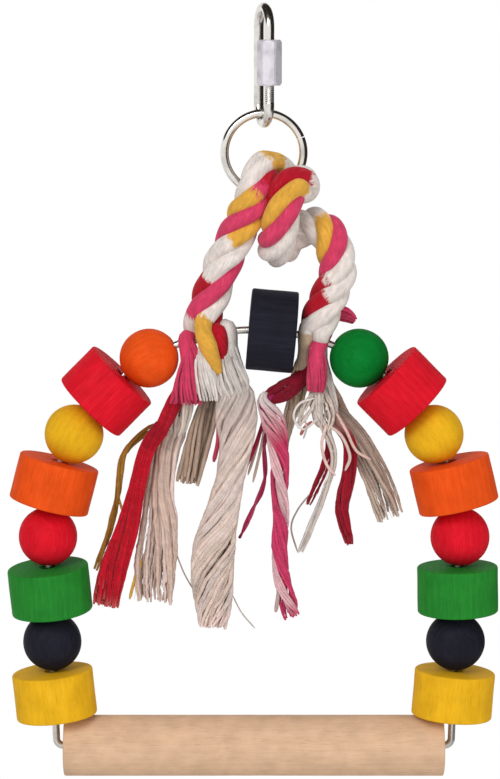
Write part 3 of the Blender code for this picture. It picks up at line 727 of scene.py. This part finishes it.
def bundle(name, points, look, seed):
    """A bundle of yarn along points in mm, as wide as their half widths say."""
    path, run, at = smooth_path([p[:3] for p in points], YARN_STEP)
    spread = np.maximum(np.interp(run, at, [p[3] for p in points]) - look["thick"] / 2, 0.1)
    settings = {
        "Yarns": look["yarns"], "Hairs": look["hairs"], "Yarn Radius": look["thick"] / 2 * MM,
        "Hair Radius": HAIR_RADIUS * MM, "Turns": look["turns"], "Plies": look.get("plies", 1),
        "Flatness": look["flat"], "Wander": look["wander"] * MM, "Shortest": look["shortest"],
        "Seed": seed, "Material": yarn_cotton,
        **{key: (*dye, 1) for key, dye in zip(DYE_INPUTS, look["dyes"])}}
    return along_paths(name, yarn_tree, [path], {"spread": ("FLOAT", "value", spread * MM)}, settings)


yarn_tree = bundle_tree()
yarn_cotton = cotton("loose_cotton", 0.08, 1.6, 1100.0, 0.74)
for seed, (name, tassel) in enumerate(TASSELS.items()):
    piece = bundle(name + "_yarn", tassel["points"], tassel, seed + TASSEL_SEED)
    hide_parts(name)
    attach(piece, "rope")
    path, run, _ = smooth_path([p[:3] for p in tassel["points"][1:]], YARN_STEP)

# Opened strands: where the lay lets go, the strands swell into soft mouths of combed yarn.
# They hide the strands' ends and lead down into the loose ends. Each has its dye, its number of
# yarns, their thickness and wander in mm, and its points with half widths in mm.
OPENED = [
    ("pink", 120, 1.1, 0.4, [(-30.6, -2.2, -131.5, 2.4), (-29.4, -4.4, -138, 3.7), (-30.8, -5.2, -149, 5.4),
        (-31.6, -5.0, -157, 6.6)]),
    ("white", 80, 1.1, 0.7, [(-24.0, -3.2, -131, 1.5), (-24.2, -5.2, -139, 3.6), (-23.6, -5.4, -147, 4.7),
        (-23.2, -4.8, -155.5, 4.8)]),
    ("white", 110, 1.2, 0.5, [(-15.0, -0.8, -127, 1.8), (-14.4, -1.4, -134, 3.9), (-13.8, -1.8, -141, 5.2),
        (-12.6, -2.2, -149, 6.8), (-11.6, -2.4, -158, 4.6)]),
    ("red", 50, 1.1, 0.4, [(-33.0, -1.5, -148, 1.5), (-36.0, -2.2, -156, 3.2), (-40.4, -4.3, -165, 3.0),
        (-42.5, -5.0, -169, 1.6)]),
    ("cream", 44, 1.2, 0.6, [(-31.0, -0.5, -150, 1.6), (-32.8, 1.0, -158.5, 4.4), (-35.4, 3.0, -167, 4.4),
        (-37.0, 3.2, -172, 2.4)]),
    ("taupe", 18, 1.8, 0.5, [(-18.0, 1.0, -143, 1.2), (-19.2, 3.2, -150, 3.2), (-21.2, 4.6, -157, 3.6),
        (-22.4, 4.7, -161, 2.0)]),
    ("pink", 70, 1.1, 0.4, [(21.0, -4.4, -133, 2.6), (21.4, -4.9, -139, 3.9), (21.3, -4.9, -146, 4.1),
        (20.8, -4.3, -152, 3.4)]),
    ("cream", 18, 1.2, 0.6, [(21.2, -3.4, -146, 1.2), (21.2, -3.2, -154, 3.2), (21.9, -3.0, -163, 2.0),
        (23.6, -3.4, -167.5, 1.0)]),
    ("white", 24, 1.5, 0.5, [(22.8, 1.0, -132, 1.4), (23.2, 2.2, -140, 2.8), (24.8, 3.2, -148, 3.4),
        (27.0, 2.4, -156, 3.2), (29.4, 0.6, -164.5, 1.8)]),
    ("beige", 24, 1.4, 0.6, [(16.9, 0.9, -134, 1.4), (15.6, 2.0, -142, 3.2), (14.4, 3.4, -149, 4.0),
        (12.8, 5.0, -158, 3.0), (11.4, 5.4, -163, 1.6)]),
    ("maroon_and_crevice_shade", 60, 1.1, 0.4, [(18.6, 2.8, -139.4, 1.5), (15.0, 2.0, -147.2, 3.4), (8.2, -0.6, -152.0, 4.2),
        (3.2, -2.8, -154, 3.4), (0.4, -4.2, -156.6, 1.4)]),
    ("magenta", 14, 1.2, 0.3, [(3.6, -3.0, -153, 1.4), (0.4, -4.6, -156.4, 2.8), (1.4, -5.0, -161, 1.4)]),
    ("taupe", 18, 1.4, 0.5, [(26.6, 4.6, -149, 1.2), (28.8, 5.6, -156.5, 3.2), (31.8, 6.4, -164.5, 3.6),
        (34.4, 6.4, -168.5, 2.0)]),
    ("cream", 10, 0.9, 2.0, [(22.0, -2.0, -151, 1.4), (18.0, -4.0, -157, 2.4), (15.0, -5.2, -162, 2.2),
        (13.4, -5.4, -166, 1.4)]),
    ("cream", 10, 0.9, 2.0, [(23.4, 0.0, -152, 1.6), (26.0, -2.4, -160, 3.0), (25.4, -4.4, -168, 2.2)]),
    ("pink", 50, 1.1, 0.4, [(23.0, 3.0, -117.0, 1.6), (29.0, 3.4, -120, 3.4), (33.6, 4.0, -121.8, 3.0),
        (36.8, 4.6, -124.2, 1.6)])]
OPENED_SEED = 40
mouths = []
for number, (dye, yarns, thick, wander, points) in enumerate(OPENED):
    colour = DYES[dye]
    shaded = tuple(0.88 * c for c in colour)
    look = {"yarns": yarns, "hairs": yarns, "thick": thick, "turns": 6.0, "flat": 0.72,
            "wander": wander, "shortest": 0.86, "dyes": (colour, colour, shaded, shaded)}
    mouths.append(bundle("opened_strand", points, look, OPENED_SEED + number))
opened = mouths[0]
with bpy.context.temp_override(active_object=opened, object=opened, selected_objects=mouths,
                               selected_editable_objects=mouths):
    bpy.ops.object.join()
opened.name = "opened_strands"
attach(opened, "rope")

# Stray threads: single yarns that have come loose from the bundles and curl beside them.
# Each is 7 to 29 mm of the same cotton, given by its radius in mm, its dye and its points.
STRAY_STEP = 0.8
STRAY_SIDES = 8
STRAYS = [
    (0.55, (0.50, 0.27, 0.05), [(-60.2, 6, -194), (-58.9, 6, -199), (-57.3, 6, -204)]),
    (0.28, (0.45, 0.40, 0.36), [(-12.6, -4, -236), (-9.0, -4, -243), (-3.6, -4, -249.5)]),
    (0.32, (0.40, 0.33, 0.28), [(-36.5, 0, -217), (-32.6, -1, -227), (-28.2, -1, -235)]),
    (0.7, (0.62, 0.36, 0.06), [(-50.0, 0, -222), (-53.0, -1, -231), (-54.8, -1, -238)]),
    (0.95, (0.55, 0.06, 0.11), [(-18.4, 2, -164), (-18.6, 1, -173), (-20.4, 1, -181.5)]),
    (0.85, (0.38, 0.02, 0.06), [(0.8, 0.5, -162), (-3.6, 0, -175), (-9.2, 0, -187.5)]),
    (0.6, (0.64, 0.50, 0.41), [(1.4, 1.5, -162), (-1.4, 1.5, -177), (-4.4, 1.5, -190)]),
    (0.6, (0.60, 0.45, 0.36), [(0.6, 2.2, -161), (-3.0, 2.2, -176), (-6.4, 2.2, -187)]),
    (0.5, (0.74, 0.68, 0.64), [(20.4, -4.5, -154.5), (14.4, -6, -156.5), (12.0, -6, -162), (15.8, -6, -167),
                               (21.6, -5, -163)]),
    (0.4, (0.52, 0.48, 0.45), [(15.6, -5, -161), (17.2, -6, -166), (16.0, -5.5, -171)]),
    (0.7, (0.42, 0.12, 0.10), [(19.6, -5, -164), (16.6, -5.5, -166.2), (14.8, -5.5, -169.5)]),
    (0.65, (0.72, 0.52, 0.45), [(29.4, -3, -161), (33.4, -4, -168), (37.4, -4, -176), (43.2, -3, -179.8)]),
    (0.38, (0.34, 0.29, 0.26), [(18.5, 1, -195), (13.6, 0, -201.5), (11.2, -1, -208.5), (13.8, -1, -218.5)]),
    (0.65, (0.74, 0.54, 0.48), [(25.4, -5, -165), (23.4, -6, -173), (25.2, -6, -181), (29.0, -5.5, -186)]),
    (0.65, (0.70, 0.56, 0.50), [(27.0, -5, -166), (31.6, -6, -170), (34.8, -6, -178), (33.0, -5, -184)]),
    (0.85, (0.50, 0.36, 0.34), [(6.6, -3, -232), (5.6, -3, -238), (4.9, -3, -243)])]
stray_paths, stray_thick, stray_dyes = [], [], []
for radius, dye, points in STRAYS:
    path, run, _ = smooth_path(points, STRAY_STEP)
    stray_paths.append(path)
    stray_thick.append(np.interp(run / run[-1], [0, 0.1, 0.9, 1], [0.6, 1, 1, 0.5]) * radius * MM)
    stray_dyes.append(np.tile((*dye, 1.0), (len(path), 1)))
strays = dyed_bars("stray_threads", stray_paths, stray_thick, stray_dyes, stray_dyes, STRAY_SIDES,
                   yarn_cotton)
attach(strays, "rope")

# Arch: 3 mm steel wire bent to a half round with straight legs, its feet turned in to hold the perch.
# It passes through both legs of the rope and through every ball and block.
ARCH_MIDDLE = (-4.0, -211.25)
ARCH_RADIUS = 84.0
ARCH_WIRE = 3.0
ARCH_LEAN = 0.0321094
FOOT_BEND = 3.0
FOOT_X = 78.3
FOOT_TIP = 66.0
ARCH_STEPS = 90
FOOT_STEPS = 12
ARCH_SIDES = 24
ARCH_NICKEL = (0.60, 0.57, 0.53)
PERCH_HEIGHT = -299.609
half_arch = arc((0, ARCH_MIDDLE[1]), ARCH_RADIUS, math.pi / 2, -ARCH_LEAN, ARCH_STEPS)
half_arch += arc((FOOT_X, PERCH_HEIGHT + FOOT_BEND), FOOT_BEND, -ARCH_LEAN, -math.pi / 2, FOOT_STEPS)
half_arch.append(Vector((FOOT_TIP, 0, PERCH_HEIGHT)))
mirrored = [Vector((-p.x, p.y, p.z)) for p in half_arch]
arch_path = [p + Vector((ARCH_MIDDLE[0], 0, 0)) for p in mirrored[:0:-1] + half_arch]
arch_nickel = metal("arch_nickel", ARCH_NICKEL, 0.28, 0.4)
arch = bar("arch_rod", arch_path, ARCH_WIRE / 2, ARCH_SIDES, arch_nickel)
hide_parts("arch_wire")
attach(arch, "arch")

# Balls and blocks: turned from pale wood, bored along the grain, dyed right through the surface.
# They are strung on the arch, and each one can spin on the wire.
BALL_RADIUS = 12.0
BALL_BORE = 2.8
BALL_FLAT = 0.5
BLOCK_RADIUS = 16.5
BLOCK_HALF = 9.5
BLOCK_BORE = 3.0
BLOCK_EDGE = 1.0
BLOCK_FACE = 9.0
BLOCK_LEVELS = (6.0, 3.0, 0.0, -3.0, -6.0)
BALL_STEPS = 40
BALL_SIDES = 64
BLOCK_SIDES = 96
EDGE_STEPS = 6
BORE_EDGE = 0.4
WOOD_WOBBLE = 0.07
WOOD_GLOSS = 0.55
WOOD_SHARP = 40
# Each stain's usual colour, its dark and its light grain.
WOOD = {"red": ((0.64, 0.008, 0.020), (0.54, 0.005, 0.014), (0.70, 0.020, 0.034)),
        "orange": ((0.74, 0.078, 0.008), (0.66, 0.058, 0.005), (0.80, 0.108, 0.018)),
        "yellow": ((0.74, 0.40, 0.012), (0.64, 0.32, 0.008), (0.79, 0.46, 0.028)),
        "green": ((0.018, 0.205, 0.024), (0.013, 0.165, 0.018), (0.032, 0.250, 0.038)),
        "green_ball": ((0.002, 0.165, 0.022), (0.001, 0.130, 0.016), (0.006, 0.200, 0.034)),
        "black": ((0.014, 0.014, 0.022), (0.010, 0.010, 0.016), (0.024, 0.023, 0.034))}


def wood(name, colour, dark, light):
    """Turned wood: growth rings across, pores and streaks along the grain, small dents, a sheen dulled by
    wear.
    """
    material, tree, shader = new_material(name)
    place = attribute(tree, "grain")["Vector"]
    drawn = add_node(tree, "ShaderNodeMapping", {"Vector": place, "Scale": (1.0, 1.0, 0.07)}).outputs[0]
    streak = noise(tree, drawn, scale=1500.0, detail=5.0, roughness=0.6)
    pore = noise(tree, drawn, scale=2600.0, detail=2.0)
    patch = noise(tree, place, scale=130.0, detail=3.0)
    rings = add_node(tree, "ShaderNodeTexWave", {
        "Vector": drawn, "Scale": 110.0, "Distortion": 3.0, "Detail": 2.0, "Detail Scale": 1.2},
        wave_type="RINGS", rings_direction="Z").outputs["Fac"]
    tone = tones(tree, mixed(tree, 0.12, streak, rings), [(0.10, dark), (0.5, colour), (0.90, light)])
    level = times(tree, span(tree, pore, 0.30, 0.40, 0.82, 1.0), span(tree, patch, 0.3, 0.7, 0.9, 1.08))
    fill(tree, shader, {
        "Base Color": vector(tree, "SCALE", tone, level),
        "Roughness": span(tree, streak, 0.3, 0.7, WOOD_GLOSS + 0.12, WOOD_GLOSS - 0.06),
        "Normal": bump(tree, mixed(tree, 0.5, streak, pore), 0.35, 0.00012), "Specular IOR Level": 0.04})
    return material


def turned(name, profile, sides, place, axis, roll, material, wobble):
    """Turn a closed profile of (radius, height) in mm about an axis, with a little unevenness."""
    bm = skin([([r] * sides, height) for r, height in profile], sides)
    chance = random.Random(name)
    phases = [chance.uniform(0, 2 * math.pi) for _ in range(3)]
    shift = Vector([chance.uniform(-0.2, 0.2) for _ in range(3)])
    facing = axis.to_track_quat("Z", "Y").to_matrix() @ Matrix.Rotation(roll, 3, "Z")
    grain = []
    for vertex in bm.verts:
        grain.append(vertex.co * MM + shift)
        angle = math.atan2(vertex.co.y, vertex.co.x)
        uneven = wobble * (math.sin(2 * angle + phases[0]) + 0.6 * math.sin(3 * angle + phases[1])
                           + 0.5 * math.sin(0.4 * vertex.co.z + phases[2]))
        vertex.co *= 1 + uneven / max(vertex.co.length, 1)
        vertex.co = Vector(place) + facing @ vertex.co * MM
    piece = solid(name, bm, WOOD_SHARP, material)
    layer = piece.data.attributes.new("grain", "FLOAT_VECTOR", "POINT")
    layer.data.foreach_set("vector", np.array(grain, dtype=np.float32).ravel())
    return piece


def rod_profile(mouth, radius, half, edge, count, heights):
    """Closed profile of a bored rod: its mouth, a rounded edge, its side, and the same at the far end."""
    shares = [i / count for i in range(count + 1)]
    top = mouth + [(radius - edge * (1 - share) ** 2, half - edge * share ** 2) for share in shares]
    return top + [(radius, height) for height in heights] + [(r, -height) for r, height in reversed(top)]


pole = math.asin((BALL_BORE + BALL_FLAT) / BALL_RADIUS)
ball_profile = [(BALL_RADIUS * math.sin(a), BALL_RADIUS * math.cos(a))
                for a in np.linspace(pole, math.pi - pole, BALL_STEPS)]
bore_end = BALL_RADIUS * math.cos(pole) - BORE_EDGE
ball_profile += [(BALL_BORE, -bore_end), (BALL_BORE, bore_end)]
block_mouth = [(BLOCK_BORE, BLOCK_HALF - BORE_EDGE), (BLOCK_BORE + BORE_EDGE, BLOCK_HALF),
               (BLOCK_FACE, BLOCK_HALF)]
block_profile = rod_profile(block_mouth, BLOCK_RADIUS, BLOCK_HALF, BLOCK_EDGE, EDGE_STEPS, BLOCK_LEVELS)
stains = {colour: wood("dyed_" + colour, *shades) for colour, shades in WOOD.items()}
for joint in frame["record"]["behaviour"]["joints"]:
    node = joint["child"]
    kind, colour = node.split("_")[0], node.split("_")[-1]
    if kind in ("ball", "block"):
        profile, sides = (ball_profile, BALL_SIDES) if kind == "ball" else (block_profile, BLOCK_SIDES)
        roll = random.Random(node).uniform(0, 2 * math.pi)
        piece = turned(node + "_wood", profile, sides, joint["pos_m"], Vector(joint["axis"]), roll,
                       stains.get(colour + "_" + kind, stains[colour]), WOOD_WOBBLE)
        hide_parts(node)
        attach(piece, node)

# Perch: a length of 25 mm beech dowel, sawn off, its edges just broken, bored at both ends.
# The feet of the arch hook into the bores, so it can turn under the bird.
PERCH_CENTRE = (ARCH_MIDDLE[0] * MM, 0, PERCH_HEIGHT * MM)
PERCH_RADIUS = 12.5
PERCH_HALF = 78.0
PERCH_HOLE = 2.0
PERCH_FLOOR = 64.5
PERCH_EDGE = 0.7
PERCH_MOUTH = 0.3
PERCH_FACE = 7.0
PERCH_EDGE_STEPS = 5
PERCH_LEVELS = np.linspace(76, -76, 40)
PERCH_SIDES = 96
PERCH_ROLL = 0.6
PERCH_WOBBLE = 0.05
perch_mouth = [(PERCH_HOLE * 0.05, PERCH_FLOOR), (PERCH_HOLE, PERCH_FLOOR),
               (PERCH_HOLE, PERCH_HALF - PERCH_MOUTH), (PERCH_HOLE + PERCH_MOUTH, PERCH_HALF),
               (PERCH_FACE, PERCH_HALF)]
perch_profile = rod_profile(perch_mouth, PERCH_RADIUS, PERCH_HALF, PERCH_EDGE, PERCH_EDGE_STEPS, PERCH_LEVELS)
beech = wood("beech", (0.64, 0.42, 0.27), (0.58, 0.36, 0.22), (0.69, 0.47, 0.32))
perch = turned("perch_dowel", perch_profile, PERCH_SIDES, PERCH_CENTRE, Vector((1, 0, 0)), PERCH_ROLL, beech,
               PERCH_WOBBLE)
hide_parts("perch")
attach(perch, "perch")

# Studio: white surroundings, a pale floor well below the swing, two soft lamps and dark side cards.
# The camera stands in front, a little above the middle, as for the photograph.
FLOOR_HEIGHT = -0.75
FLOOR_REACH = 1.15
FLOOR_SIDES = 64
CARD_TOP = [(-0.9, -0.8, 0.6), (0.9, -0.8, 0.6), (0.9, 0.8, 0.6), (-0.9, 0.8, 0.6)]
CARD_RADIUS = 1.0
CARD_STEPS = 15
# Each curved card's first and last angle in degrees from the front, and its foot and top in m.
CARD_WALLS = {"card_right": (30, 150, -0.74, 0.75), "card_left": (-140, -55, 0.2, 0.75)}
LAMP_TARGET = (0, 0, -0.15)
LAMP_SIZE = 1.0
CAMERA_TARGET = (-0.0056, 0.0, -0.1516)
CAMERA_DISTANCE = 1.2
CAMERA_RISE = math.radians(8.0)
CAMERA_LENS = 136.9
scene = bpy.context.scene
scene.view_settings.view_transform = "Standard"
world = bpy.data.worlds.new("studio")
world.use_nodes = True
scene.world = world
tree = world.node_tree
ray = add_node(tree, "ShaderNodeLightPath").outputs
seen = maths(tree, "MAXIMUM", ray["Is Camera Ray"], ray["Is Glossy Ray"])
seen = maths(tree, "MAXIMUM", seen, ray["Is Transmission Ray"])
fill(tree, tree.nodes["Background"], {
    "Color": (1, 1, 1, 1), "Strength": span(tree, seen, 0.0, 1.0, 0.55, 1.0)})

paper, tree, shader = new_material("studio_paper")
grain = noise(tree, own_place(tree), scale=900.0, detail=4.0)
fill(tree, shader, {"Base Color": span(tree, grain, 0.0, 1.0, 0.86, 0.92), "Roughness": 0.9})
dark_card, tree, shader = new_material("dark_card")
height = add_node(tree, "ShaderNodeSeparateXYZ", {"Vector": own_place(tree)}).outputs["Z"]
shade = tones(tree, span(tree, height, -0.7, -0.4, 0.0, 1.0),
              [(0.0, (0.50, 0.48, 0.50)), (1.0, (0.030, 0.020, 0.014))])
fill(tree, shader, {"Base Color": shade, "Roughness": 0.95})


def sheet(name, points, faces, material):
    """A flat piece of the studio."""
    mesh = bpy.data.meshes.new(name)
    mesh.from_pydata(points, [], faces)
    mesh.materials.append(material)
    return placed(name, mesh)


rim = [(FLOOR_REACH * math.cos(a), FLOOR_REACH * math.sin(a), FLOOR_HEIGHT) for a in all_round(FLOOR_SIDES)]
sheet("studio_floor", rim, [tuple(range(FLOOR_SIDES))], paper)
cards = {"card_top": (CARD_TOP, [(0, 1, 2, 3)])}
for name, (first, last, low, high) in CARD_WALLS.items():
    turns = [math.radians(first + (last - first) * i / CARD_STEPS) for i in range(CARD_STEPS + 1)]
    cards[name] = ([(CARD_RADIUS * math.sin(turn), -CARD_RADIUS * math.cos(turn), height)
                    for turn in turns for height in (low, high)],
                   [(2 * i, 2 * i + 2, 2 * i + 3, 2 * i + 1) for i in range(CARD_STEPS)])
for name, (points, faces) in cards.items():
    card = sheet(name, points, faces, dark_card)
    card.visible_camera = card.visible_diffuse = card.visible_shadow = False

for name, place, power in (("key_lamp", (-0.7, -1.6, 0.9), 20.0), ("fill_lamp", (1.1, -1.5, 0.1), 9.0)):
    data = bpy.data.lights.new(name, "AREA")
    data.shape = "SQUARE"
    data.size = LAMP_SIZE
    data.energy = power
    lamp = placed(name, data)
    lamp.location = place
    lamp.rotation_euler = (Vector(LAMP_TARGET) - Vector(place)).to_track_quat("-Z", "Y").to_euler()
    lamp.visible_glossy = name != "fill_lamp"

camera_data = bpy.data.cameras.new("camera")
camera_data.lens = CAMERA_LENS
camera_data.sensor_width = 36.0
camera = placed("camera", camera_data)
away = Vector((0, -math.cos(CAMERA_RISE), math.sin(CAMERA_RISE)))
camera.location = Vector(CAMERA_TARGET) + away * CAMERA_DISTANCE
camera.rotation_euler = (-away).to_track_quat("-Z", "Y").to_euler()
scene.camera = camera
